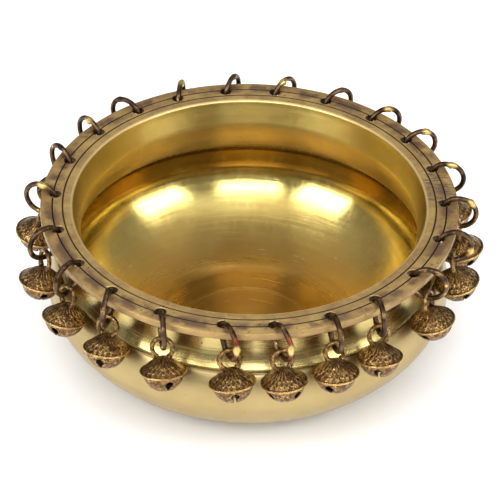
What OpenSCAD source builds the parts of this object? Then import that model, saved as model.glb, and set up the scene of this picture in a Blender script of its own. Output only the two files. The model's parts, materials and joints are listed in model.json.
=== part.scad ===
// Brass urli: a wide-mouthed shallow festival bowl whose flat rim carries a row
// of small cast ghungroo bells, each hung on its own wire ring.
// Millimetres, +Z up. The origin is the centre of the flat base.

/* [Bowl] */
// Height from the flat base to the top of the rim
bowl_h = 68; // [64:1:74]
// Radius of the outer edge of the rim
rim_r = 81.5; // [81:0.5:82.5]
// Thickness of the flat rim
rim_t = 3; // [2.5:0.1:3.1]
// Radius of the mouth at the inner lip
mouth_r = 68.8; // [68:0.2:70]
// Inside radius of the neck, the narrowest place
neck_r = 66; // [65:0.5:67]
// Radius of the crease between neck and belly
shoulder_r = 75; // [74:0.5:75.5]
// Radius of the belly at its widest
belly_r = 79.3; // [78:0.1:80]
// Radius where the belly meets the flat base
base_r = 39; // [34:1:44]
// Thickness of the cast wall
wall = 3; // [2.5:0.1:3.5]

/* [Rim holes] */
// Radius of the circle that the holes are drilled on
hole_circle_r = 76; // [75.8:0.1:76.2]
// Diameter of each hole
hole_d = 4.5; // [4.3:0.1:4.8]

/* [Rings] */
// Radius of the ring to the middle of its wire
ring_r = 6.7; // [6.6:0.05:6.8]
// Diameter of the wire
wire_d = 2.1; // [1.9:0.1:2.2]
// Distance from the hole out to the middle of the ring
ring_reach = 6; // [5.8:0.1:6.1]
// Depth of the middle of the ring below the top of the rim
ring_drop = 3.9; // [3.8:0.1:4]

/* [Bells] */
// Diameter over the flange
bell_d = 18; // [17:0.2:18]
// Height of the dome above the middle of the flange
dome_h = 6.2; // [5.8:0.1:6.4]
// Depth of the lower cup below the middle of the flange
cup_h = 7.6; // [7:0.1:8]
// Thickness of the bell's wall
bell_wall = 1; // [0.8:0.1:1.2]
// Inner radius of the eye
eye_r = 3; // [2.9:0.1:3.1]
// Diameter of the eye's wire
eye_wire_d = 1.8; // [1.6:0.1:1.9]
// Width of the slits between the petals
slit_w = 1.1; // [0.8:0.1:1.4]
// Diameter of the round hole that ends each slit
slit_hole_d = 3.2; // [2.8:0.1:3.4]
// Diameter of the loose pellet
pellet_d = 4.2; // [4:0.1:4.6]
// Distance from the bowl's axis at which a bell comes to rest on the neck
bell_rest_r = 83.8; // [83.7:0.1:84.2]

/* [Hidden] */
$fn = 64;

// Heights on the bowl, from the base
belly_z = bowl_h - 38;
shoulder_z = bowl_h - 24;
neck_z = bowl_h - 10;
rim_under_z = bowl_h - rim_t;
floor_z = wall;

// Shape of the bowl's curves
belly_fullness = 1.27;   // 1 is an ellipse's quarter, more is leaner at the foot
belly_sweep = 55;        // degrees of curve from the widest place to the crease
neck_sweep = 60;         // degrees of curve from the narrowest place to the crease
rim_fillet = 6;          // under the rim, where it grows out of the neck
edge_r = 0.6;            // broken edges of the rim
lip_drop = 1.2;          // rounded inner lip
line_r = [76.8, 72.8];   // the two turned lines on the rim
line_w = 0.5;
line_depth = 0.35;
crease_w = 0.8;
crease_depth = 0.6;

// The rim was marked out by hand: degrees that each hole is off even spacing
hole_nudge = [0, 1, 1, 1, 2, 2, 1, 0, -2, -2, -0.5, -0.5, 1.5, -0.5, -1, -0.5, -1, -2, -3, -3.5, -3.5, -1];
count = len(hole_nudge);
first_hole_angle = 98;

// How far each ring has turned in its hole, from pointing straight out
ring_yaw = [-32, -32, -32, -28, -16, -24, -8, 20, 22, -24, -6, 22, 32, 34, 30, 20, 20, -20, -32, -12, 20, -32];
// Where each bell's slits lie, from pointing straight out
slit_turn = [30, 10, 45, 20, 40, 15, 25, 40, 5, 45, 45, 35, 15, 45, 25, 30, 0, 20, 40, 10, 35, 25];
// The part of its ring's turn that a bell's eye does not follow
eye_slack = 0.4;

// Bells whose pellet is a node of its own; the pellets of the others are in their bell's node
own_pellet = [7:18];

// Bell shape, from the middle of its flange
eye_z = dome_h + 3;
flange_t = 0.8;
dome_base_r = bell_d / 2 - 0.6;
dome_power = 1.6;
cup_r = bell_d / 2 - 0.9;
cup_fullness = 0.8;
slit_top_z = -3.2;
eye_sweep = 300;         // degrees of the eye that stand clear, the rest is inside the dome
wire_play = 0.3;         // room between the top of the eye and the wire it hangs on
pellet_z = bell_wall + 0.15 + pellet_d / 2 - cup_h;

// From the wire that a bell hangs on, down to the middle of its flange
hang_l = eye_z + eye_r - wire_play - wire_d / 2;

function two(i) = i < 10 ? str("0", i) : str(i);
function hole_angle(i) = first_hole_angle - 360 / count * (i - 1) + hole_nudge[i - 1];
// How far a bell must lean out from its ring, along the ring's plane, to rest against the neck
function rest_reach(i) =
    sqrt(pow(bell_rest_r, 2) - pow(hole_circle_r * sin(ring_yaw[i - 1]), 2)) - hole_circle_r * cos(ring_yaw[i - 1]);
function lean(i) = asin((rest_reach(i) - ring_reach) / hang_l);
function has_own_pellet(i) = len([for (k = own_pellet) if (k == i) k]) > 0;

// A curve that leaves one point vertically and bends through sweep degrees to another
function bend(from, to, sweep, steps) = [
    for (k = [0:steps]) let (a = sweep * k / steps) [
        from[0] + (to[0] - from[0]) * (1 - cos(a)) / (1 - cos(sweep)),
        from[1] + (to[1] - from[1]) * sin(a) / sin(sweep)
    ]
];
// The lower belly: level at the foot, upright at the widest place
function lower_belly(foot, widest, steps) = [
    for (k = [0:steps]) let (a = 90 * k / steps) [
        foot[0] + (widest[0] - foot[0]) * pow(sin(a), belly_fullness),
        widest[1] - (widest[1] - foot[1]) * pow(cos(a), belly_fullness)
    ]
];
function arc(centre, r, from, to, steps) = [
    for (k = [0:steps]) let (a = from + (to - from) * k / steps)
        [centre[0] + r * cos(a), centre[1] + r * sin(a)]
];
function reversed(points) = [for (k = [len(points) - 1:-1:0]) points[k]];
function without_last(points) = [for (k = [0:len(points) - 2]) points[k]];
// A V-shaped turned line across the top of the rim, from its outer to its inner side
function turned_line(r) = [[r + line_w / 2, bowl_h], [r, bowl_h - line_depth], [r - line_w / 2, bowl_h]];

function outer_outline() = concat(
    [[0, 0]],
    lower_belly([base_r, 0], [belly_r, belly_z], 12),
    without_last(bend([belly_r, belly_z], [shoulder_r, shoulder_z - crease_w / 2], belly_sweep, 6)),
    [[shoulder_r, shoulder_z - crease_w / 2], [shoulder_r - crease_depth, shoulder_z]],
    reversed(bend([neck_r + wall + 0.5, neck_z], [shoulder_r - 0.4, shoulder_z + crease_w / 2], neck_sweep, 6)),
    arc([neck_r + wall + 0.5 + rim_fillet, rim_under_z - rim_fillet], rim_fillet, 180, 90, 5),
    arc([rim_r - edge_r, rim_under_z + edge_r], edge_r, -90, 0, 2),
    arc([rim_r - edge_r, bowl_h - edge_r], edge_r, 0, 90, 2)
);
function inner_outline() = concat(
    arc([mouth_r + lip_drop, bowl_h - lip_drop], lip_drop, 90, 180, 3),
    bend([neck_r, neck_z], [shoulder_r - wall * 0.95, shoulder_z - wall * 0.6], neck_sweep, 6),
    reversed(without_last(bend([belly_r - wall, belly_z], [shoulder_r - wall * 0.95, shoulder_z - wall * 0.6],
                               belly_sweep, 6))),
    reversed(without_last(lower_belly([base_r - wall / 2, floor_z], [belly_r - wall, belly_z], 12))),
    [[0, floor_z]]
);

module bowl() {
    color([0.80, 0.66, 0.36])
    difference() {
        rotate_extrude($fn = 128)
            polygon(concat(outer_outline(), turned_line(line_r[0]), turned_line(line_r[1]), inner_outline()));
        for (i = [1:count])
            at_hole(i) translate([0, 0, -rim_t - 2]) cylinder(d = hole_d, h = rim_t + 4, $fn = 32);
    }
}

// Puts its children at hole i, with +X pointing straight out from the bowl
module at_hole(i) {
    rotate([0, 0, hole_angle(i)]) translate([hole_circle_r, 0, bowl_h]) children();
}

module torus(r, d) {
    rotate_extrude() translate([r, 0]) circle(d = d, $fn = 24);
}

// Puts its children at the middle of ring i, with +X pointing out of the hole along the ring's plane
module at_ring(i) {
    at_hole(i) rotate([0, 0, ring_yaw[i - 1]]) translate([ring_reach, 0, -ring_drop]) children();
}

module ring(i) {
    color([0.36, 0.27, 0.17]) at_ring(i) rotate([90, 0, 0]) torus(ring_r, wire_d);
}

// Puts its children at the middle of bell i's flange, hanging from the lowest point of its ring.
// +X points the way that the ring points.
module at_bell(i) {
    at_ring(i) translate([0, 0, -ring_r]) rotate([0, -lean(i), 0]) translate([0, 0, -hang_l]) children();
}

// Half outlines of the bell, shrunk by t on every side for its hollow
function dome_outline(t, steps) = [
    for (k = [0:steps]) let (r = (dome_base_r - t) * k / steps)
        [r, flange_t / 2 + (dome_h - t - flange_t / 2) * (1 - pow(k / steps, dome_power))]
];
function cup_outline(t, steps) = [
    for (k = [0:steps]) let (a = 90 * k / steps)
        [(cup_r - t) * pow(cos(a), cup_fullness), -(cup_h - t) * pow(sin(a), 1 / cup_fullness)]
];

module bell_shell() {
    difference() {
        rotate_extrude($fn = 48)
            polygon(concat(
                dome_outline(0, 8),
                [[bell_d / 2, flange_t / 4], [bell_d / 2, -flange_t / 4], [dome_base_r, -flange_t / 2]],
                cup_outline(0, 8)
            ));
        rotate_extrude($fn = 48)
            polygon(concat(dome_outline(bell_wall, 6), cup_outline(bell_wall, 6)));
    }
}

// Two crossed slits through the cup, each ending in a round hole
module slits() {
    for (a = [0, 90]) rotate([0, 0, a]) {
        translate([-bell_d / 2, -slit_w / 2, -cup_h - 1]) cube([bell_d, slit_w, cup_h + 1 + slit_top_z]);
        translate([0, 0, slit_top_z]) rotate([0, 90, 0])
            cylinder(d = slit_hole_d, h = bell_d + 2, center = true, $fn = 24);
    }
}

module eye() {
    translate([0, 0, eye_z]) rotate([90, 0, 90]) rotate([0, 0, 90 - eye_sweep / 2])
        rotate_extrude(angle = eye_sweep, $fn = 48)
            translate([eye_r + eye_wire_d / 2, 0]) circle(d = eye_wire_d, $fn = 20);
}

module pellet_ball() {
    translate([0, 0, pellet_z]) sphere(d = pellet_d, $fn = 32);
}

module bell(i) {
    color([0.58, 0.43, 0.22])
    at_bell(i) {
        union() {
            rotate([0, 0, slit_turn[i - 1] - ring_yaw[i - 1]]) difference() {
                bell_shell();
                slits();
            }
            rotate([0, 0, -ring_yaw[i - 1] * eye_slack]) eye();
        }
        if (!has_own_pellet(i)) pellet_ball();
    }
}

module pellet(i) {
    color([0.30, 0.28, 0.26]) at_bell(i) pellet_ball();
}

bowl();
for (i = [1:count]) {
    ring(i);
    bell(i);
}
for (i = own_pellet) pellet(i);
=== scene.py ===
import json
import math

import bmesh
import bpy
import numpy as np
from mathutils import Matrix, Vector, noise

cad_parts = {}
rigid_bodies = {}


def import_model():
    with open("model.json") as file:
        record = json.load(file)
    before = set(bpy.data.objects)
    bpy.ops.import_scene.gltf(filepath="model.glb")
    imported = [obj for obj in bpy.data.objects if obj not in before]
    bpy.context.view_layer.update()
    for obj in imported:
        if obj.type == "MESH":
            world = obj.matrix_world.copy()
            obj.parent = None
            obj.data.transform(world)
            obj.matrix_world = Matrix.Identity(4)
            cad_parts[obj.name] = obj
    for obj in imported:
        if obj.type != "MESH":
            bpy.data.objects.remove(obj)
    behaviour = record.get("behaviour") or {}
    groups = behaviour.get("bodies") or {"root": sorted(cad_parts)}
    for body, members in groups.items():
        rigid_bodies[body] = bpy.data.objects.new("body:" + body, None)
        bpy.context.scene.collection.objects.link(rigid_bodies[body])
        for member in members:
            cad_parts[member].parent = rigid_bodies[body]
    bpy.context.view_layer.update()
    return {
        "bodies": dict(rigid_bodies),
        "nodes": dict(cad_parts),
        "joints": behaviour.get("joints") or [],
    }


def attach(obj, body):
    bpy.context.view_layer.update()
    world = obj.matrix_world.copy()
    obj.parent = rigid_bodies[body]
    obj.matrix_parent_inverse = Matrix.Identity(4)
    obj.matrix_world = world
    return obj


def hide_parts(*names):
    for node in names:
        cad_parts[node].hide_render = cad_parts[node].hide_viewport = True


# Brass urli bowl with ghungroo bells. Lengths in the making functions are millimetres, and a
# mesh turns into metres as it becomes a Blender object.
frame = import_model()
MM = 0.001

joints = {joint["name"]: joint for joint in frame["joints"]}
COUNT = sum(name.startswith("ring_") for name in frame["bodies"])

# ---------------------------------------------------------------- sizes, as in the CAD model
BOWL_H = 68.0
RIM_R = 81.5
RIM_T = 3.0
MOUTH_R = 68.8
NECK_R = 66.0
SHOULDER_R = 75.0
BELLY_R = 79.3
BASE_R = 39.0
WALL = 3.0
BELLY_Z = BOWL_H - 38.0
SHOULDER_Z = BOWL_H - 24.0
NECK_Z = BOWL_H - 10.0
RIM_UNDER_Z = BOWL_H - RIM_T
BELLY_FULLNESS = 1.27
BELLY_SWEEP = math.radians(55)
NECK_SWEEP = math.radians(60)
RIM_FILLET = 6.0
EDGE_R = 0.6
LIP_DROP = 1.2
LINE_RADII = (76.8, 72.8)
LINE_W = 0.5
LINE_DEPTH = 0.35
CREASE_W = 0.8
CREASE_DEPTH = 0.6
HOLE_CIRCLE_R = 76.0
HOLE_D = 4.5

RING_R = 6.7
WIRE_R = 1.05
RING_REACH = 6.0

BELL_R = 9.0
DOME_H = 6.2
CUP_H = 7.6
BELL_WALL = 1.0
FLANGE_T = 0.8
DOME_BASE_R = BELL_R - 0.6
DOME_POWER = 1.6
CUP_R = BELL_R - 0.9
CUP_FULLNESS = 0.8
EYE_R = 3.0
EYE_WIRE_R = 0.9
EYE_Z = DOME_H + 3.0
WIRE_PLAY = 0.3
HANG_L = EYE_Z + EYE_R - WIRE_PLAY - WIRE_R
SLIT_W = 1.1
SLIT_HOLE_R = 1.6
SLIT_TOP_Z = -3.2
PELLET_R = 2.1
PELLET_Z = BELL_WALL + 0.15 + PELLET_R - CUP_H
BELL_REST_R = 83.8
EYE_SLACK = 0.4

# Where each bell's slits lie, in degrees from pointing straight out from the bowl
SLIT_TURN = [30, 10, 45, 20, 40, 15, 25, 40, 5, 45, 45, 35, 15, 45, 25, 30, 0, 20, 40, 10, 35, 25]
# Rings whose braze shows, with the braze's place on the ring in degrees up from its outer side
BRAZE = {2: 100, 4: 80, 5: 70, 6: 75, 7: 48, 8: -20, 12: 10, 13: 8, 18: 95, 20: 90, 22: 85}
# Rings with red marking paint either side of the braze
RED_MARKED = (12, 13)
# Scales cast on each dome: how many round it, how wide a row is, and the radius they start at
SCALE_COUNT = 22
SCALE_ROW = 1.6
SCALES_FROM_R = 4.4


# ---------------------------------------------------------------- mesh helpers
def mesh_object(name, vertices, faces):
    """A mesh object from vertices in millimetres."""
    mesh = bpy.data.meshes.new(name)
    mesh.from_pydata((np.asarray(vertices) * MM).tolist(), [], [list(map(int, f)) for f in faces])
    mesh.validate()
    mesh.polygons.foreach_set("use_smooth", [True] * len(mesh.polygons))
    piece = bpy.data.objects.new(name, mesh)
    bpy.context.scene.collection.objects.link(piece)
    return piece


def grid_faces(rows, columns, wrap_rows=False, wrap_columns=False, first=0):
    """Quads over a grid of vertices that is stored row by row."""
    faces = []
    for i in range(rows if wrap_rows else rows - 1):
        for j in range(columns if wrap_columns else columns - 1):
            i2, j2 = (i + 1) % rows, (j + 1) % columns
            faces.append((first + i * columns + j, first + i * columns + j2,
                          first + i2 * columns + j2, first + i2 * columns + j))
    return faces


def lathe(outline, segments):
    """Vertices and faces of an open outline of (radius, height) points turned about Z."""
    angles = np.arange(segments) * 2 * np.pi / segments
    outline = np.asarray(outline, float)
    x = outline[:, :1] * np.cos(angles)
    y = outline[:, :1] * np.sin(angles)
    z = np.repeat(outline[:, 1:], segments, axis=1)
    vertices = np.stack([x, y, z], axis=-1).reshape(-1, 3)
    return vertices, grid_faces(len(outline), segments, wrap_columns=True)


def weld(piece, distance=0.00001):
    """Merges the vertices that coincide, such as those on the axis of a turned shape. In metres."""
    work = bmesh.new()
    work.from_mesh(piece.data)
    bmesh.ops.remove_doubles(work, verts=work.verts, dist=distance)
    bmesh.ops.recalc_face_normals(work, faces=work.faces)
    work.to_mesh(piece.data)
    work.free()


def apply_modifiers(piece):
    """Replaces the piece's mesh by what its modifiers make of it."""
    depsgraph = bpy.context.evaluated_depsgraph_get()
    made = bpy.data.meshes.new_from_object(piece.evaluated_get(depsgraph))
    piece.modifiers.clear()
    piece.data = made


def sweep(path, radii, sides):
    """A closed tube round a path that comes back to its start. radii is one radius per point."""
    tangents = np.roll(path, -1, axis=0) - np.roll(path, 1, axis=0)
    tangents /= np.linalg.norm(tangents, axis=1, keepdims=True)
    across = np.cross(tangents, [0.0, 1.0, 0.0])
    across /= np.linalg.norm(across, axis=1, keepdims=True)
    along_y = np.cross(across, tangents)
    vertices = tube_points(path, radii, sides, across, along_y)
    return vertices, grid_faces(len(path), sides, wrap_rows=True, wrap_columns=True)


def tube_points(path, radii, sides, across, beside):
    """A circle of points round each point of the path, in the plane of across and beside."""
    angles = np.arange(sides) * 2 * np.pi / sides
    cosines, sines = np.cos(angles)[None, :, None], np.sin(angles)[None, :, None]
    circles = cosines * across[:, None] + sines * beside[:, None]
    return (path[:, None] + radii[:, None, None] * circles).reshape(-1, 3)


def bumpy(point, size, seed):
    """Smooth noise from -1 to 1, with bumps of about that size in millimetres."""
    return noise.noise(Vector(point) / size + Vector((seed * 7.31, seed * 3.17, seed * 1.73)))


def float_attribute(piece, name, values):
    """A number per vertex, for a material to read."""
    attribute = piece.data.attributes.new(name, "FLOAT", "POINT")
    attribute.data.foreach_set("value", np.asarray(values, np.float32))


def vector_attribute(piece, name, values):
    """A vector per vertex, for a material to read."""
    attribute = piece.data.attributes.new(name, "FLOAT_VECTOR", "POINT")
    attribute.data.foreach_set("vector", np.asarray(values, np.float32).ravel())


# ---------------------------------------------------------------- node helpers
class Paint:
    """A node material in the making, with its Principled shader in self.shader."""

    def __init__(self, name, **constants):
        self.material = bpy.data.materials.new(name)
        self.material.use_nodes = True
        self.tree = self.material.node_tree
        self.shader = self.tree.nodes["Principled BSDF"]
        for socket, value in constants.items():
            self.shader.inputs[socket.replace("_", " ")].default_value = value

    def node(self, kind, **settings):
        made = self.tree.nodes.new(kind)
        for key, value in settings.items():
            setattr(made, key, value)
        return made

    def feed(self, socket, value):
        if hasattr(value, "is_output"):
            self.tree.links.new(value, socket)
        else:
            socket.default_value = value

    def math(self, operation, a, b=0.0):
        made = self.node("ShaderNodeMath", operation=operation)
        self.feed(made.inputs[0], a)
        self.feed(made.inputs[1], b)
        return made.outputs[0]

    def add(self, a, b):
        return self.math("ADD", a, b)

    def multiply(self, a, b):
        return self.math("MULTIPLY", a, b)

    def apart(self, a, b):
        """How far a is from b."""
        return self.math("ABSOLUTE", self.math("SUBTRACT", a, b))

    def place(self):
        """Where the point is on its piece, in metres, which doesn't change as the piece moves."""
        return self.node("ShaderNodeTexCoord").outputs["Object"]

    def split(self, vector):
        made = self.node("ShaderNodeSeparateXYZ")
        self.feed(made.inputs[0], vector)
        return made.outputs

    def combine(self, x, y, z):
        made = self.node("ShaderNodeCombineXYZ")
        for socket, value in zip(made.inputs, (x, y, z)):
            self.feed(socket, value)
        return made.outputs[0]

    def noise(self, vector, scale, detail=3.0, roughness=0.55):
        made = self.node("ShaderNodeTexNoise")
        self.feed(made.inputs["Vector"], vector)
        made.inputs["Scale"].default_value = scale
        made.inputs["Detail"].default_value = detail
        made.inputs["Roughness"].default_value = roughness
        return made.outputs["Fac"]

    def spots(self, vector, scale):
        """Distance to the nearest of many scattered points."""
        made = self.node("ShaderNodeTexVoronoi")
        self.feed(made.inputs["Vector"], vector)
        made.inputs["Scale"].default_value = scale
        return made.outputs["Distance"]

    def step(self, value, low, high, to_low=0.0, to_high=1.0):
        """Goes smoothly from to_low to to_high as value goes from low to high."""
        made = self.node("ShaderNodeMapRange", interpolation_type="SMOOTHSTEP")
        self.feed(made.inputs["Value"], value)
        limits = {"From Min": low, "From Max": high, "To Min": to_low, "To Max": to_high}
        for socket, number in limits.items():
            made.inputs[socket].default_value = number
        return made.outputs["Result"]

    def mix(self, factor, a, b):
        made = self.node("ShaderNodeMix", data_type="RGBA")
        self.feed(made.inputs[0], factor)
        for socket, value in ((made.inputs[6], a), (made.inputs[7], b)):
            self.feed(socket, (*value, 1.0) if isinstance(value, tuple) else value)
        return made.outputs[2]

    def value(self, name):
        """A number that the mesh holds at each vertex."""
        return self.node("ShaderNodeAttribute", attribute_name=name).outputs["Fac"]

    def bump(self, height, distance, strength=1.0, under=None):
        made = self.node("ShaderNodeBump")
        made.inputs["Strength"].default_value = strength
        made.inputs["Distance"].default_value = distance
        self.feed(made.inputs["Height"], height)
        if under is not None:
            self.feed(made.inputs["Normal"], under)
        return made.outputs["Normal"]

    def brush_round_axis(self):
        """Lets the highlights spread across marks that run round the Z axis."""
        tangent = self.node("ShaderNodeTangent", direction_type="RADIAL", axis="Z")
        self.feed(self.shader.inputs["Tangent"], tangent.outputs[0])

    def finish(self, colour, roughness, normal):
        self.feed(self.shader.inputs["Base Color"], colour)
        self.feed(self.shader.inputs["Roughness"], roughness)
        self.feed(self.shader.inputs["Normal"], normal)
        return self.material


def from_axis(paint, x, y):
    """How far the point is from the Z axis."""
    return paint.math("SQRT", paint.add(paint.multiply(x, x), paint.multiply(y, y)))


def turned_coordinates(paint):
    """(radius, height, position) of the point on the bowl, in metres."""
    position = paint.place()
    x, y, z = paint.split(position)
    return from_axis(paint, x, y), z, position


def lathe_marks(paint, radius, height, position, fineness):
    """Fine uneven circles left by the turning tool and the polishing mop."""
    around = paint.node("ShaderNodeVectorMath", operation="SCALE")
    paint.feed(around.inputs[0], position)
    around.inputs["Scale"].default_value = 0.035
    shift = paint.node("ShaderNodeVectorMath", operation="ADD")
    paint.feed(shift.inputs[0], paint.combine(radius, 0.0, height))
    paint.feed(shift.inputs[1], around.outputs[0])
    return paint.noise(shift.outputs[0], fineness, detail=4.0, roughness=0.7)


# ---------------------------------------------------------------- materials
def polished_brass():
    """Inside of the bowl: mop-polished over fine turning marks, with a satin neck and a floor painted
    darker as painted shade.
    """
    paint = Paint("polished_brass", Metallic=1.0, Anisotropic=0.8, Anisotropic_Rotation=0.25)
    radius, height, position = turned_coordinates(paint)
    marks = lathe_marks(paint, radius, height, position, 2600.0)
    broad = lathe_marks(paint, radius, height, position, 420.0)
    cloud = paint.noise(position, 28.0, detail=4.0)
    stain = paint.noise(position, 75.0, detail=5.0, roughness=0.65)
    gold = paint.mix(paint.step(cloud, 0.35, 0.7), (0.70, 0.545, 0.165), (0.75, 0.60, 0.205))
    gold = paint.mix(paint.step(stain, 0.50, 0.80, 0.0, 0.40), gold, (0.56, 0.38, 0.10))
    gold = paint.mix(paint.step(marks, 0.35, 0.7, 0.0, 0.25), gold, (0.56, 0.41, 0.12))
    # The floor is painted darker amber, as painted shade for the dim light it reflects at the bottom of
    # the bowl
    shade_edge = paint.add(radius, paint.multiply(cloud, 0.03))
    painted_shade_floor = paint.step(shade_edge, 0.062, 0.092, 0.90, 0.0)
    gold = paint.mix(painted_shade_floor, gold, (0.46, 0.265, 0.065))
    # Specks of dirt lie here and there
    specks = paint.step(paint.spots(position, 330.0), 0.06, 0.13, 0.55, 0.0)
    sparse = paint.step(paint.noise(position, 90.0, detail=2.0), 0.50, 0.60)
    gold = paint.mix(paint.multiply(specks, sparse), gold, (0.22, 0.13, 0.04))
    # The hollow under the roll of the neck is painted dark, as painted shade
    hollow = paint.apart(height, (SHOULDER_Z - 3.2) * MM)
    gold = paint.mix(paint.step(hollow, 0.0004, 0.0026, 0.85, 0.0), gold, (0.15, 0.075, 0.02))
    neck = paint.step(height, (SHOULDER_Z - 2) * MM, (SHOULDER_Z + 3) * MM)
    neck_stain = paint.multiply(neck, paint.step(stain, 0.3, 0.7, 0.35, 0.75))
    gold = paint.mix(neck_stain, gold, (0.50, 0.37, 0.10))
    uneven = paint.step(broad, 0.35, 0.75, 0.0, 0.07)
    roughness = paint.add(paint.step(cloud, 0.3, 0.75, 0.11, 0.17), uneven)
    # Wiping has left faint streaks that run up the wall to the neck
    x, y, z = paint.split(position)
    angle = paint.math("ARCTAN2", y, x)
    along = paint.multiply(paint.add(radius, height), 2.5)
    streak = paint.noise(paint.combine(angle, along, 0.0), 42.0, detail=5.0, roughness=0.7)
    on_wall = paint.step(radius, 0.048, 0.066)
    streaks = paint.multiply(on_wall, paint.step(streak, 0.42, 0.68, -0.015, 0.05))
    roughness = paint.add(roughness, streaks)
    roughness = paint.add(roughness, paint.multiply(neck, 0.20))
    roughness = paint.add(roughness, paint.multiply(painted_shade_floor, 0.10))
    paint.brush_round_axis()
    normal = paint.bump(marks, 0.00005, 0.30, under=paint.bump(broad, 0.0003, 0.15))
    return paint.finish(gold, roughness, normal)


def turned_brass():
    """Outside of the bowl: polished neck, satin belly, both with fine turning marks."""
    paint = Paint("turned_brass", Metallic=1.0, Anisotropic=0.5, Anisotropic_Rotation=0.25)
    radius, height, position = turned_coordinates(paint)
    marks = lathe_marks(paint, radius, height, position, 3000.0)
    broad = lathe_marks(paint, radius, height, position, 380.0)
    cloud = paint.noise(position, 32.0, detail=4.0)
    above_crease = ((SHOULDER_Z - 0.8) * MM, (SHOULDER_Z + 0.4) * MM)
    neck = paint.step(height, *above_crease)
    champagne = paint.mix(paint.step(cloud, 0.3, 0.7), (0.385, 0.288, 0.130), (0.46, 0.352, 0.162))
    olive = paint.mix(paint.step(cloud, 0.3, 0.7), (0.46, 0.355, 0.13), (0.57, 0.45, 0.18))
    colour = paint.mix(neck, champagne, olive)
    colour = paint.mix(paint.step(marks, 0.4, 0.72, 0.0, 0.35), colour, (0.42, 0.29, 0.10))
    pits = paint.step(paint.spots(position, 210.0), 0.05, 0.11, 0.8, 0.0)
    rare = paint.step(paint.noise(position, 60.0, detail=1.0), 0.58, 0.62)
    colour = paint.mix(paint.multiply(pits, rare), colour, (0.10, 0.06, 0.03))
    # The crease at the shoulder is painted near black, as painted shade
    crease = paint.apart(height, SHOULDER_Z * MM)
    colour = paint.mix(paint.step(crease, 0.0002, 0.0007, 0.85, 0.0), colour, (0.07, 0.045, 0.02))
    uneven = paint.step(broad, 0.35, 0.75, 0.0, 0.10)
    roughness = paint.add(paint.step(height, *above_crease, 0.33, 0.22), uneven)
    paint.brush_round_axis()
    normal = paint.bump(marks, 0.00006, 0.5, under=paint.bump(broad, 0.0003, 0.25))
    return paint.finish(colour, roughness, normal)


def rim_brass():
    """Rim: unpolished, browned, with stains round the holes, pits and turning chatter."""
    paint = Paint("rim_brass", Metallic=0.72)
    radius, height, position = turned_coordinates(paint)
    marks = lathe_marks(paint, radius, height, position, 1500.0)
    blotch = paint.noise(position, 85.0, detail=6.0, roughness=0.68)
    grain = paint.noise(position, 900.0, detail=3.0)
    colour = paint.mix(paint.step(blotch, 0.32, 0.68), (0.31, 0.190, 0.075), (0.58, 0.390, 0.135))
    colour = paint.mix(paint.step(marks, 0.38, 0.70, 0.0, 0.30), colour, (0.32, 0.21, 0.11))
    # Purple-brown tarnish along the circle of holes
    off_holes = paint.apart(radius, (HOLE_CIRCLE_R + 1.5) * MM)
    patches = paint.step(paint.noise(position, 130.0, detail=5.0), 0.42, 0.60, 0.0, 0.88)
    tarnish = paint.multiply(paint.step(off_holes, 0.001, 0.0045, 1.0, 0.0), patches)
    colour = paint.mix(tarnish, colour, (0.15, 0.085, 0.055))
    # Tool chatter on one side of the rim
    x, y, z = paint.split(position)
    near_side = paint.step(paint.apart(y, 0.012), 0.006, 0.016, 1.0, 0.0)
    on_side = paint.multiply(paint.step(x, 0.062, 0.070), near_side)
    across_rim = paint.combine(0.0, y, paint.multiply(radius, 0.25))
    ticks = paint.step(paint.noise(across_rim, 1100.0, detail=2.0), 0.47, 0.62, 0.0, 0.8)
    colour = paint.mix(paint.multiply(on_side, ticks), colour, (0.13, 0.105, 0.085))
    # Pits are black
    pits = paint.step(paint.spots(position, 420.0), 0.10, 0.20, 0.85, 0.0)
    rare = paint.step(paint.noise(position, 150.0, detail=2.0), 0.50, 0.60)
    pit = paint.multiply(pits, rare)
    colour = paint.mix(pit, colour, (0.045, 0.03, 0.022))
    # The walls of the holes are painted near black, as painted shade
    from_holes = paint.apart(radius, HOLE_CIRCLE_R * MM)
    in_hole = paint.step(from_holes, (HOLE_D / 2 + 0.4) * MM, (HOLE_D / 2 + 0.6) * MM, 1.0, 0.0)
    below_top = paint.step(height, (BOWL_H - 0.30) * MM, (BOWL_H - 0.08) * MM, 0.9, 0.0)
    above_under = paint.step(height, (RIM_UNDER_Z + 0.02) * MM, (RIM_UNDER_Z + 0.10) * MM)
    hole_wall_shade = paint.multiply(in_hole, paint.multiply(below_top, above_under))
    colour = paint.mix(hole_wall_shade, colour, (0.04, 0.025, 0.016))
    # The two turned lines are painted dark, as painted shade in the grooves
    for line in LINE_RADII:
        near = paint.apart(radius, line * MM)
        colour = paint.mix(paint.step(near, 0.00022, 0.00042, 0.92, 0.0), colour, (0.035, 0.022, 0.014))
    # The outer edge is painted darker than the top, as painted shadow under the rim, and the inner lip is
    # painted bright, as a painted highlight
    painted_edge_shadow = paint.step(radius, (RIM_R - 0.4) * MM, (RIM_R - 0.1) * MM, 0.0, 0.45)
    colour = paint.mix(painted_edge_shadow, colour, (0.22, 0.13, 0.055))
    painted_lip_highlight = paint.step(radius, (MOUTH_R + 0.5) * MM, (MOUTH_R + 1.3) * MM, 0.85, 0.0)
    colour = paint.mix(painted_lip_highlight, colour, (0.80, 0.60, 0.27))
    roughness = paint.add(paint.step(blotch, 0.3, 0.7, 0.42, 0.30), paint.step(grain, 0.3, 0.7, 0.0, 0.10))
    normal = paint.bump(marks, 0.0001, 0.4, under=paint.bump(grain, 0.00008, 0.45))
    normal = paint.bump(paint.math("SUBTRACT", 1.0, pit), 0.0002, 0.7, under=normal)
    return paint.finish(colour, roughness, normal)


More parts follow.
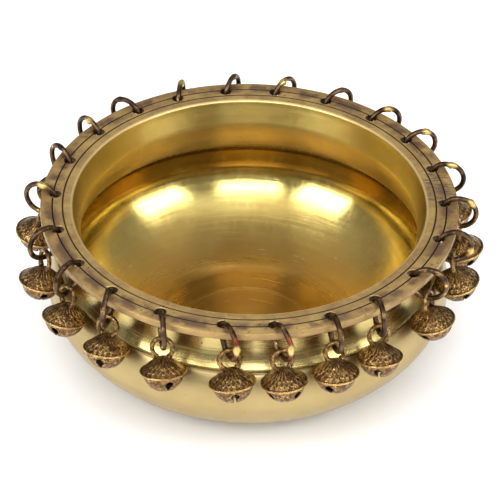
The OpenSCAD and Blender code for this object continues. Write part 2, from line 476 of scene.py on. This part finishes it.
def scale_rows(paint):
    """(height of the raised pattern, how far the point is on the dome) for a bell, each from 0 to 1.

    Flutes fan out from the eye, and rows of U-shaped scales lie between them and the flange."""
    place = paint.node("ShaderNodeAttribute", attribute_name="bell_place").outputs["Vector"]
    x, y, z = paint.split(place)
    radius = from_axis(paint, x, y)
    turns = paint.math("DIVIDE", paint.math("ARCTAN2", y, x), 2 * math.pi)
    uneven = paint.multiply(paint.math("SUBTRACT", paint.noise(place, 0.55, detail=2.0), 0.5), 0.9)
    past_flutes = paint.math("SUBTRACT", paint.add(radius, uneven), SCALES_FROM_R)
    row = paint.math("DIVIDE", past_flutes, SCALE_ROW)
    shift = paint.multiply(paint.math("FLOOR", row), 0.5)
    along = paint.math("FRACT", paint.add(paint.multiply(turns, SCALE_COUNT), shift))
    off_middle = paint.apart(paint.multiply(along, 2.0), 1.0)
    curve = paint.multiply(paint.math("POWER", off_middle, 1.8), 0.62)
    from_ridge = paint.apart(paint.add(paint.math("FRACT", row), curve), 0.80)
    ridge = paint.step(from_ridge, 0.08, 0.30, 1.0, 0.0)
    wave = paint.math("SINE", paint.multiply(turns, 2 * math.pi * SCALE_COUNT))
    flutes = paint.step(wave, -0.6, 0.8, 0.1, 0.75)
    outer = paint.step(radius, SCALES_FROM_R - 0.3, SCALES_FROM_R + 0.3)
    inner = paint.math("SUBTRACT", 1.0, outer)
    pattern = paint.add(paint.multiply(outer, ridge), paint.multiply(inner, flutes))
    blurred = paint.step(paint.noise(place, 0.35, detail=2.0), 0.30, 0.52)
    below_eye = paint.step(z, DOME_H - 0.3, DOME_H + 0.2, 1.0, 0.0)
    on_dome = paint.multiply(paint.step(z, 0.35, 0.60), below_eye)
    return paint.multiply(paint.multiply(pattern, blurred), on_dome), on_dome


def cast_brass():
    """Bells: rough casting, brown in the hollows and rubbed gold on the high places."""
    paint = Paint("cast_brass", Metallic=1.0)
    position = paint.place()
    grain = paint.noise(position, 1500.0, detail=4.0, roughness=0.65)
    cloud = paint.noise(position, 190.0, detail=4.0)
    pattern, on_dome = scale_rows(paint)
    relief_share = paint.math("SUBTRACT", 1.0, paint.multiply(on_dome, 0.20))
    cast_height = paint.multiply(paint.value("relief"), relief_share)
    high = paint.add(cast_height, paint.multiply(pattern, 0.40))
    high = paint.add(high, paint.step(grain, 0.3, 0.7, -0.20, 0.20))
    colour = paint.mix(paint.step(high, 0.22, 0.90), (0.082, 0.042, 0.018), (0.64, 0.40, 0.14))
    colour = paint.mix(paint.step(cloud, 0.45, 0.72, 0.0, 0.60), colour, (0.20, 0.10, 0.04))
    # The hollow is painted near black as painted shade, and is rougher for never having been polished
    inside = paint.value("inside")
    colour = paint.mix(inside, colour, (0.015, 0.011, 0.008))
    roughness = paint.add(paint.step(high, 0.2, 0.9, 0.46, 0.19), paint.multiply(inside, 0.3))
    normal = paint.bump(grain, 0.00025, 0.7, under=paint.bump(pattern, 0.0003, 0.75))
    return paint.finish(colour, roughness, normal)


def ring_bronze():
    """Rings: dark aged wire, rubbed bright in places, with brass braze and red paint on some."""
    paint = Paint("ring_bronze", Metallic=1.0)
    position = paint.place()
    cloud = paint.noise(position, 260.0, detail=5.0, roughness=0.65)
    fine = paint.noise(position, 1600.0, detail=3.0)
    colour = paint.mix(paint.step(cloud, 0.36, 0.66), (0.040, 0.023, 0.015), (0.20, 0.118, 0.060))
    colour = paint.mix(paint.step(cloud, 0.59, 0.68, 0.0, 0.9), colour, (0.62, 0.42, 0.16))
    colour = paint.mix(paint.value("braze"), colour, (0.78, 0.57, 0.20))
    red = paint.multiply(paint.value("red"), paint.step(fine, 0.3, 0.62, 1.0, 0.35))
    colour = paint.mix(red, colour, (0.30, 0.035, 0.02))
    roughness = paint.add(paint.step(cloud, 0.35, 0.7, 0.40, 0.24), paint.step(fine, 0.3, 0.7, 0.0, 0.08))
    normal = paint.bump(fine, 0.00012, 0.5, under=paint.bump(cloud, 0.0004, 0.35))
    return paint.finish(colour, roughness, normal)


def pellet_iron():
    """Loose shot inside the bells."""
    paint = Paint("pellet_iron", Metallic=1.0)
    position = paint.place()
    fine = paint.noise(position, 900.0, detail=4.0)
    colour = paint.mix(paint.step(fine, 0.35, 0.7), (0.10, 0.085, 0.075), (0.26, 0.20, 0.15))
    return paint.finish(colour, paint.step(fine, 0.3, 0.7, 0.6, 0.42), paint.bump(fine, 0.0002, 0.6))


# ---------------------------------------------------------------- bowl
def bend(start, end, sweep_angle, steps):
    """A curve that leaves start vertically and bends through sweep_angle to end."""
    a = np.linspace(0, sweep_angle, steps + 1)
    return np.stack([start[0] + (end[0] - start[0]) * (1 - np.cos(a)) / (1 - math.cos(sweep_angle)),
                     start[1] + (end[1] - start[1]) * np.sin(a) / math.sin(sweep_angle)], axis=1)


def lower_belly(foot, widest, steps):
    """The lower belly: level at the foot, upright at the widest place."""
    a = np.linspace(0, np.pi / 2, steps + 1)
    return np.stack([foot[0] + (widest[0] - foot[0]) * np.sin(a) ** BELLY_FULLNESS,
                     widest[1] - (widest[1] - foot[1]) * np.cos(a).clip(0) ** BELLY_FULLNESS], axis=1)


def arc(centre, radius, start, end, steps):
    a = np.radians(np.linspace(start, end, steps + 1))
    return np.stack([centre[0] + radius * np.cos(a), centre[1] + radius * np.sin(a)], axis=1)


def turned_line(radius):
    """A dished line cut across the top of the rim, from its outer side to its inner side."""
    a = np.linspace(0, np.pi, 7)
    return np.stack([radius + LINE_W / 2 * np.cos(a), BOWL_H - LINE_DEPTH * np.sin(a)], axis=1)


def straight(start, end, steps):
    return np.linspace(start, end, steps + 1)[1:-1]


def bowl_outlines():
    """The outlines of the outside, the rim and the inside, which follow on from each other."""
    neck_out = NECK_R + WALL + 0.5
    crease = arc((SHOULDER_R + 0.05, SHOULDER_Z), CREASE_DEPTH, 250, 110, 6)
    outside = np.concatenate([
        [(0, 0)], straight((0, 0), (BASE_R, 0), 8),
        lower_belly((BASE_R, 0), (BELLY_R, BELLY_Z), 56),
        bend((BELLY_R, BELLY_Z), (SHOULDER_R, SHOULDER_Z - CREASE_W / 2), BELLY_SWEEP, 28)[1:-1],
        crease,
        bend((neck_out, NECK_Z), (SHOULDER_R - 0.4, SHOULDER_Z + CREASE_W / 2), NECK_SWEEP, 32)[::-1][1:],
        arc((neck_out + RIM_FILLET, RIM_UNDER_Z - RIM_FILLET), RIM_FILLET, 180, 90, 16)[1:],
    ])
    rim = np.concatenate([
        arc((RIM_R - EDGE_R, RIM_UNDER_Z + EDGE_R), EDGE_R, -90, 0, 5),
        arc((RIM_R - EDGE_R, BOWL_H - EDGE_R), EDGE_R, 0, 90, 5),
        turned_line(LINE_RADII[0]),
        turned_line(LINE_RADII[1]),
        arc((MOUTH_R + LIP_DROP, BOWL_H - LIP_DROP), LIP_DROP, 90, 150, 7),
    ])
    shoulder_in = (SHOULDER_R - WALL * 0.95, SHOULDER_Z - WALL * 0.6)
    inside = np.concatenate([
        arc((MOUTH_R + LIP_DROP, BOWL_H - LIP_DROP), LIP_DROP, 160, 180, 2),
        straight((MOUTH_R, BOWL_H - LIP_DROP), (NECK_R, NECK_Z), 6),
        bend((NECK_R, NECK_Z), shoulder_in, NECK_SWEEP, 28),
        bend((BELLY_R - WALL, BELLY_Z), shoulder_in, BELLY_SWEEP, 28)[::-1][1:-1],
        lower_belly((BASE_R - WALL / 2, WALL), (BELLY_R - WALL, BELLY_Z), 56)[::-1],
        straight((BASE_R - WALL / 2, WALL), (0, WALL), 8), [(0, WALL)],
    ])
    return outside, rim, inside


def make_bowl():
    """The turned shell with its rim drilled, in three materials."""
    vertices, faces = lathe(np.concatenate(bowl_outlines()), 256)
    bowl = mesh_object("bowl_shell", vertices, faces)
    weld(bowl, 0.00002)
    for material in (turned_brass(), rim_brass(), polished_brass()):
        bowl.data.materials.append(material)
    # A face takes its material from where it lies: outside, rim or inside
    for face in bowl.data.polygons:
        centre, normal = face.center / MM, face.normal
        radius = math.hypot(centre.x, centre.y)
        inward = radius > 0 and (centre.x * normal.x + centre.y * normal.y) / radius < 0.3 * normal.z
        on_top = radius > MOUTH_R + 0.15 and centre.z > BOWL_H - LIP_DROP * 0.7
        at_rim = on_top or radius > NECK_R + WALL + RIM_FILLET
        if centre.z > RIM_UNDER_Z - 0.01 and at_rim:
            face.material_index = 1
        elif inward and centre.z > WALL / 2:
            face.material_index = 2
    drill_rim(bowl)
    bowl.data.set_sharp_from_angle(angle=math.radians(38))
    return bowl


def drill_rim(bowl):
    """Cuts the holes, each with its upper edge worn a little wider."""
    worn = 0.25
    hole_r = HOLE_D / 2
    outline = [(0, RIM_UNDER_Z - 1), (hole_r + worn, RIM_UNDER_Z - 1), (hole_r + worn, RIM_UNDER_Z - 0.01),
               (hole_r, RIM_UNDER_Z + worn), (hole_r, BOWL_H - worn), (hole_r + worn, BOWL_H + 0.01),
               (hole_r + worn, BOWL_H + 1), (0, BOWL_H + 1)]
    vertices, faces = [], []
    one, quads = lathe(outline, 32)
    for i in range(1, COUNT + 1):
        first = len(vertices) * len(one)
        vertices.append(one + np.array([*hole_centre(i), 0.0]))
        faces += [tuple(first + k for k in quad) for quad in quads]
    cutter = mesh_object("cutter", np.concatenate(vertices), faces)
    weld(cutter)
    cutter.data.materials.append(bowl.data.materials[1])
    cut = bowl.modifiers.new("holes", "BOOLEAN")
    cut.operation = "DIFFERENCE"
    cut.solver = "EXACT"
    cut.object = cutter
    cut.material_mode = "TRANSFER"
    apply_modifiers(bowl)
    bpy.data.objects.remove(cutter)


# ---------------------------------------------------------------- where things hang
def ring_place(i):
    """(middle of ring i, direction of its plane) in millimetres and radians, from its joint."""
    turn = joints[f"ring_{i:02d}_turn"]
    x, y, z = (c / MM for c in turn["pos_m"])
    axis = turn["axis"]
    return Vector((x, y, z)), math.atan2(axis[0], -axis[1])


def hole_centre(i):
    middle, direction = ring_place(i)
    return middle.x - RING_REACH * math.cos(direction), middle.y - RING_REACH * math.sin(direction)


def ring_yaw(i):
    """How far ring i has turned in its hole from pointing straight out."""
    x, y = hole_centre(i)
    return ring_place(i)[1] - math.atan2(y, x)


def ring_matrix(i):
    middle, direction = ring_place(i)
    return Matrix.Translation(middle) @ Matrix.Rotation(direction, 4, "Z")


def bell_matrix(i):
    """Takes the middle of a bell's flange to where bell i hangs, leaning out from the neck."""
    yaw = ring_yaw(i)
    aside, along = HOLE_CIRCLE_R * math.sin(yaw), HOLE_CIRCLE_R * math.cos(yaw)
    reach = math.sqrt(BELL_REST_R ** 2 - aside ** 2) - along
    lean = math.asin((reach - RING_REACH) / HANG_L)
    return (ring_matrix(i) @ Matrix.Translation((0, 0, -RING_R)) @ Matrix.Rotation(-lean, 4, "Y")
            @ Matrix.Translation((0, 0, -HANG_L)))


def moved(vertices, matrix):
    matrix = np.array(matrix)
    return np.asarray(vertices) @ matrix[:3, :3].T + matrix[:3, 3]


# ---------------------------------------------------------------- rings
def make_ring(i, material):
    """Hand-bent wire: nearly round, slightly uneven in thickness, brazed where its ends meet."""
    steps, sides = 112, 16
    t = np.arange(steps) * 2 * np.pi / steps
    braze_at = math.radians(BRAZE.get(i, 60 + 25 * math.sin(i * 2.4)))
    off = (t - braze_at + np.pi) % (2 * np.pi) - np.pi
    size = 0.42 if i in BRAZE else 0.16
    lump = size * np.exp(-(off / 0.20) ** 2) * (1 + 0.35 * np.sin(off * 14 + i))
    wobble = np.array([bumpy((math.cos(a) * RING_R, math.sin(a) * RING_R, 0), 4.0, i) for a in t])
    # A lump at the top grows inwards, so that the ring's height stays true
    path_r = RING_R - lump * np.clip(np.sin(t), 0, 1) ** 30
    path = np.stack([path_r * np.cos(t), 0.12 * wobble, path_r * np.sin(t)], axis=1)
    vertices, faces = sweep(path, WIRE_R * (0.985 + 0.03 * wobble) + lump, sides)
    rough = np.array([bumpy(v, 0.9, i + 50) for v in vertices])
    middle = np.repeat(path, sides, axis=0)
    outward = (vertices - middle) / np.linalg.norm(vertices - middle, axis=1, keepdims=True)
    brazed = np.repeat(np.exp(-(off / 0.27) ** 4), sides)
    vertices = vertices + outward * (rough * (0.035 + 0.12 * brazed * (i in BRAZE)))[:, None]
    vertices[:, 2] = np.minimum(vertices[:, 2], RING_R + WIRE_R)
    ring = mesh_object(f"wire_ring_{i:02d}", moved(vertices, ring_matrix(i)), faces)
    ring.data.materials.append(material)
    float_attribute(ring, "braze", brazed * (0.9 if i in BRAZE else 0.0))
    beside = np.exp(-((np.abs(off) - 0.50) / 0.17) ** 4)
    float_attribute(ring, "red", np.repeat(beside, sides) * (i in RED_MARKED))
    return ring


# ---------------------------------------------------------------- bells
def bell_outlines():
    """The kind of each point, and the outer and inner outlines point for point, from apex to foot."""
    share = np.linspace(0, 1, 31)
    # The cup's points lie closer together along the slits
    a = np.radians(np.concatenate([np.linspace(3, 50, 12), np.linspace(53, 84, 18)]))
    flange_top = FLANGE_T / 2

    def dome(wall):
        height = flange_top + (DOME_H - wall - flange_top) * (1 - share ** DOME_POWER)
        return np.stack([(DOME_BASE_R - wall) * share, height], axis=1)

    def cup(wall):
        depth = (CUP_H - wall) * np.sin(a) ** (1 / CUP_FULLNESS)
        return np.stack([(CUP_R - wall) * np.cos(a) ** CUP_FULLNESS, -depth], axis=1)

    flange = [(BELL_R - 0.12, flange_top), (BELL_R, 0.12), (BELL_R, -0.16),
              (BELL_R - 0.15, -flange_top), (DOME_BASE_R, -flange_top - 0.08)]
    hollow = [(DOME_BASE_R - BELL_WALL, z) for z in np.linspace(flange_top, 0, len(flange))]
    kinds = ["dome"] * len(share) + ["flange"] * len(flange) + ["cup"] * len(a)
    outer = np.concatenate([dome(0), flange, cup(0)])
    inner = np.concatenate([dome(BELL_WALL), hollow, cup(BELL_WALL)])
    return kinds, outer, inner


def slit_half_angle(r, z):
    """Half of the angle that a slit and its round hole take out of the cup at that height."""
    if z >= SLIT_TOP_Z + SLIT_HOLE_R:
        return 0.0
    half = math.sqrt(max(0.0, SLIT_HOLE_R ** 2 - (z - SLIT_TOP_Z) ** 2))
    if z < SLIT_TOP_Z:
        half = max(half, SLIT_W / 2)
    return min(math.asin(min(0.99, half / r)), math.pi / 4 - 0.05)


def dome_relief(r, angle, seed):
    """Worn flutes near the eye and shallow waves further out. From 0 to 1."""
    flutes = 0.5 + 0.5 * math.cos(angle * SCALE_COUNT)
    waves = 0.5 + 0.5 * math.cos(2 * math.pi * (r - SCALES_FROM_R) / SCALE_ROW)
    outer = min(1.0, max(0.0, (r - SCALES_FROM_R + 0.4) / 0.8))
    worn = 0.75 + 0.5 * bumpy((math.cos(angle) * r, math.sin(angle) * r, 0), 2.6, seed)
    return (outer * (0.35 + 0.3 * waves) + (1 - outer) * flutes * 0.7) * worn


def cast_point(kind, r, angle, z, seed):
    """(place, relief) of a point on a bell's outer surface, uneven as cast."""
    point = Vector((r * math.cos(angle), r * math.sin(angle), z))
    pattern = dome_relief(r, angle, seed) if kind == "dome" else 0.38
    cast = bumpy(point, 1.1, seed + 20)
    lift = 0.06 * cast + 0.04 * bumpy(point, 3.5, seed + 40) - 0.10
    if kind == "dome":
        lift += 0.20 * (pattern - 0.5) * min(1.0, r / 2.0)
    slope = Vector((math.cos(angle), math.sin(angle), 0)) * (0.55 if kind == "dome" else 0.8)
    slope.z = {"dome": 0.85, "flange": 0.0, "cup": -0.4}[kind]
    if r == 0:
        slope.x = slope.y = 0
    worn = 0.35 if kind == "flange" else 0.0
    return point + slope * lift, min(1.0, max(0.0, pattern + 0.35 * cast + worn))


def bell_surface(seed):
    """Dome, flange and cup with their hollow, in four quarters that part at the slits.

    Returns the vertices, each one's relief, whether it is inside, and the faces."""
    kinds, outer, inner = bell_outlines()
    rows, columns = len(kinds), 29
    layer = rows * columns
    quarter_turn = math.pi / 2
    vertices, relief, inside, faces = [], [], [], []
    for quarter in range(4):
        first = len(vertices)
        for outline in (outer, inner):
            for kind, (r, z), (_, slit_z) in zip(kinds, outline, outer):
                half_gap = slit_half_angle(r, slit_z) if kind == "cup" else 0.0
                start = quarter * quarter_turn + half_gap
                end = (quarter + 1) * quarter_turn - half_gap
                for angle in np.linspace(start, end, columns):
                    if outline is outer:
                        place, height = cast_point(kind, r, angle, z, seed)
                    else:
                        place, height = Vector((r * math.cos(angle), r * math.sin(angle), z)), 0.0
                    vertices.append(place)
                    relief.append(height)
                    inside.append(outline is inner)
        faces += grid_faces(rows, columns, first=first)
        faces += grid_faces(rows, columns, first=first + layer)
        # Walls of the slits
        for row in range(rows - 1):
            if kinds[row + 1] == "cup" and slit_half_angle(*outer[row + 1]) > 0:
                for column in (0, columns - 1):
                    upper = first + row * columns + column
                    lower = upper + columns
                    faces.append((upper, lower, lower + layer, upper + layer))
        # Wall of the foot
        for column in range(columns - 1):
            foot = first + (rows - 1) * columns + column
            faces.append((foot, foot + 1, foot + 1 + layer, foot + layer))
    return vertices, relief, inside, faces


def make_eye(seed):
    """The cast loop on top of the dome, thickening into two feet. Stands in the YZ plane."""
    steps, sides = 44, 14
    a = np.radians(np.linspace(-90 + 26, 270 - 26, steps))
    ring = EYE_R + EYE_WIRE_R
    path = np.stack([np.zeros(steps), ring * np.cos(a), EYE_Z + ring * np.sin(a)], axis=1)
    foot = np.clip((-np.sin(a) - 0.45) / 0.5, 0, 1)
    path[:, 1] += np.sign(path[:, 1]) * 0.35 * foot
    radii = EYE_WIRE_R * (1 + 0.28 * foot ** 1.5)
    tangents = np.gradient(path, axis=0)
    tangents /= np.linalg.norm(tangents, axis=1, keepdims=True)
    side_way = np.tile([1.0, 0.0, 0.0], (steps, 1))
    points = tube_points(path, radii, sides, np.cross(tangents, side_way), side_way)
    cast = np.array([bumpy(p, 1.0, seed + 80) for p in points])
    outward = points - np.repeat(path, sides, axis=0)
    points = points + outward * (0.05 * cast)[:, None]
    last = (steps - 1) * sides
    faces = grid_faces(steps, sides, wrap_columns=True)
    faces += [tuple(range(sides)), tuple(last + k for k in range(sides))]
    relief = np.clip(0.45 + 0.4 * cast - 0.25 * np.repeat(foot, sides), 0, 1)
    return points, relief, faces


def make_pellet_mesh(seed):
    """Rough shot: a fine ball with cast unevenness."""
    rows, columns = 17, 24
    polar = np.linspace(0, np.pi, rows)
    around = np.arange(columns) * 2 * np.pi / columns
    unit = np.stack([np.outer(np.sin(polar), np.cos(around)), np.outer(np.sin(polar), np.sin(around)),
                     np.outer(np.cos(polar), np.ones(columns))], axis=-1).reshape(-1, 3)
    radii = PELLET_R * (0.975 + np.array([0.025 * bumpy(u * PELLET_R, 1.2, seed) for u in unit]))
    return unit * radii[:, None] + np.array([0, 0, PELLET_Z]), grid_faces(rows, columns, wrap_columns=True)


def make_bell(i, metal, iron):
    """Dome and slit cup of real thickness, with the eye cast on."""
    points, relief, inside, faces = bell_surface(i)
    yaw = ring_yaw(i)
    shell_turn = Matrix.Rotation(math.radians(SLIT_TURN[i - 1]) - yaw, 4, "Z")
    bell = mesh_object(f"ghungroo_{i:02d}", moved(points, shell_turn), faces)
    float_attribute(bell, "relief", relief)
    float_attribute(bell, "inside", inside)
    vector_attribute(bell, "bell_place", points)
    weld(bell)

    eye_points, eye_relief, eye_faces = make_eye(i)
    eye = mesh_object("eye", moved(eye_points, Matrix.Rotation(-EYE_SLACK * yaw, 4, "Z")), eye_faces)
    float_attribute(eye, "relief", eye_relief)
    float_attribute(eye, "inside", np.zeros(len(eye_points)))
    vector_attribute(eye, "bell_place", eye_points)
    weld(eye)
    join(bell, eye)
    bell.data.materials.append(metal)
    if f"pellet_{i:02d}" not in frame["nodes"]:
        points, faces = make_pellet_mesh(i)
        shot = mesh_object("shot", points, faces)
        weld(shot)
        bell.data.materials.append(iron)
        shot.data.materials.append(metal)
        shot.data.materials.append(iron)
        shot.data.polygons.foreach_set("material_index", [1] * len(shot.data.polygons))
        join(bell, shot)
    place = bell_matrix(i)
    place.translation *= MM
    bell.data.transform(place)
    return bell


def join(piece, other):
    """Adds the other object's mesh to the piece's."""
    with bpy.context.temp_override(active_object=piece, object=piece, selected_objects=[piece, other],
                                   selected_editable_objects=[piece, other]):
        bpy.ops.object.join()


def make_pellet(i, iron):
    points, faces = make_pellet_mesh(i)
    pellet = mesh_object(f"shot_{i:02d}", moved(points, bell_matrix(i)), faces)
    weld(pellet)
    pellet.data.materials.append(iron)
    return pellet


# ---------------------------------------------------------------- making the object
bowl = make_bowl()
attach(bowl, "bowl")
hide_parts("bowl")

wire_metal, bell_metal, shot_metal = ring_bronze(), cast_brass(), pellet_iron()
for i in range(1, COUNT + 1):
    pieces = [(make_ring(i, wire_metal), f"ring_{i:02d}", "ring_wire"),
              (make_bell(i, bell_metal, shot_metal), f"bell_{i:02d}", "cast_brass")]
    if f"pellet_{i:02d}" in frame["nodes"]:
        pieces.append((make_pellet(i, shot_metal), f"pellet_{i:02d}", "pellet_iron"))
    for piece, node, slot in pieces:
        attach(piece, node)
        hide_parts(node)


# ---------------------------------------------------------------- camera
def aim(thing, eye, target, roll=0.0):
    thing.location = eye
    turn = (Vector(target) - Vector(eye)).to_track_quat("-Z", "Y")
    thing.rotation_euler = (turn.to_matrix() @ Matrix.Rotation(roll, 3, "Z")).to_euler()


camera_data = bpy.data.cameras.new("camera")
camera = bpy.data.objects.new("camera", camera_data)
bpy.context.scene.collection.objects.link(camera)
bpy.context.scene.camera = camera
CAMERA_ELEVATION = math.radians(37.89)
CAMERA_ROLL = math.radians(0.95)
CAMERA_DISTANCE = 1.064
# How far the middle of the view lies to the right of and below the middle of the rim
VIEW_RIGHT = 0.0005
VIEW_DOWN = 0.0189
camera_data.lens = 196.5
camera_data.sensor_width = 36.0
camera_data.clip_start = 0.05
forward = Vector((0, math.cos(CAMERA_ELEVATION), -math.sin(CAMERA_ELEVATION)))
upward = Vector((0, math.sin(CAMERA_ELEVATION), math.cos(CAMERA_ELEVATION)))
look_at = Vector((VIEW_RIGHT, 0, BOWL_H * MM)) - upward * VIEW_DOWN
aim(camera, look_at - forward * CAMERA_DISTANCE, look_at, CAMERA_ROLL)


# ---------------------------------------------------------------- floor and light
def make_floor():
    """A wide pale sheet that the bowl stands on."""
    size = 3000.0
    corners = [(-size, -size, 0), (size, -size, 0), (size, size, 0), (-size, size, 0)]
    floor = mesh_object("floor", corners, [(0, 1, 2, 3)])
    paint = Paint("floor_white")
    paint.shader.inputs["Base Color"].default_value = (0.93, 0.93, 0.93, 1)
    paint.shader.inputs["Roughness"].default_value = 0.9
    floor.data.materials.append(paint.material)


def softbox(name, azimuth, elevation, distance, width, height, power, seen=True):
    """A rectangular soft light that points at the bowl. One that isn't seen doesn't show in the brass."""
    light = bpy.data.lights.new(name, "AREA")
    light.shape = "RECTANGLE"
    light.size, light.size_y = width, height
    light.energy = power
    lamp = bpy.data.objects.new(name, light)
    bpy.context.scene.collection.objects.link(lamp)
    a, e = math.radians(azimuth), math.radians(elevation)
    lamp.visible_glossy = seen
    target = Vector((0, 0, 0.03))
    way = Vector((math.cos(a) * math.cos(e), math.sin(a) * math.cos(e), math.sin(e)))
    aim(lamp, target + way * distance, target)


def make_world():
    """Studio surroundings: dim at the horizon, lightest high up, and dimmer again straight overhead."""
    world = bpy.data.worlds.new("studio")
    bpy.context.scene.world = world
    world.use_nodes = True
    tree = world.node_tree
    background = tree.nodes["Background"]
    place = tree.nodes.new("ShaderNodeTexCoord")
    split = tree.nodes.new("ShaderNodeSeparateXYZ")
    ramp = tree.nodes.new("ShaderNodeValToRGB")
    tree.links.new(place.outputs["Generated"], split.inputs[0])
    tree.links.new(split.outputs["Z"], ramp.inputs["Fac"])
    tree.links.new(ramp.outputs["Color"], background.inputs["Color"])
    stops = ramp.color_ramp.elements
    stops[0].position, stops[0].color = 0.0, (0.13, 0.13, 0.13, 1)
    stops[1].position, stops[1].color = 1.0, (0.30, 0.30, 0.30, 1)
    for position, level in ((0.35, 0.20), (0.70, 0.42), (0.90, 0.62)):
        stop = stops.new(position)
        stop.color = (level, level, level, 1)
    background.inputs["Strength"].default_value = 1.0


make_floor()
make_world()
softbox("softbox_right", -30, 34, 1.3, 0.62, 0.55, 7)
softbox("softbox_camera", -90, 41, 1.5, 0.85, 0.45, 8)
softbox("softbox_left", -140, 36, 1.3, 0.62, 0.62, 8)
softbox("softbox_above_camera", -90, 62, 1.5, 1.8, 0.6, 2.2)
softbox("softbox_back", 88, 64, 1.5, 0.35, 0.12, 1.0)
softbox("floor_fill", 90, 90, 2.5, 3.0, 3.0, 60, seen=False)
bpy.context.scene.view_settings.view_transform = "Standard"
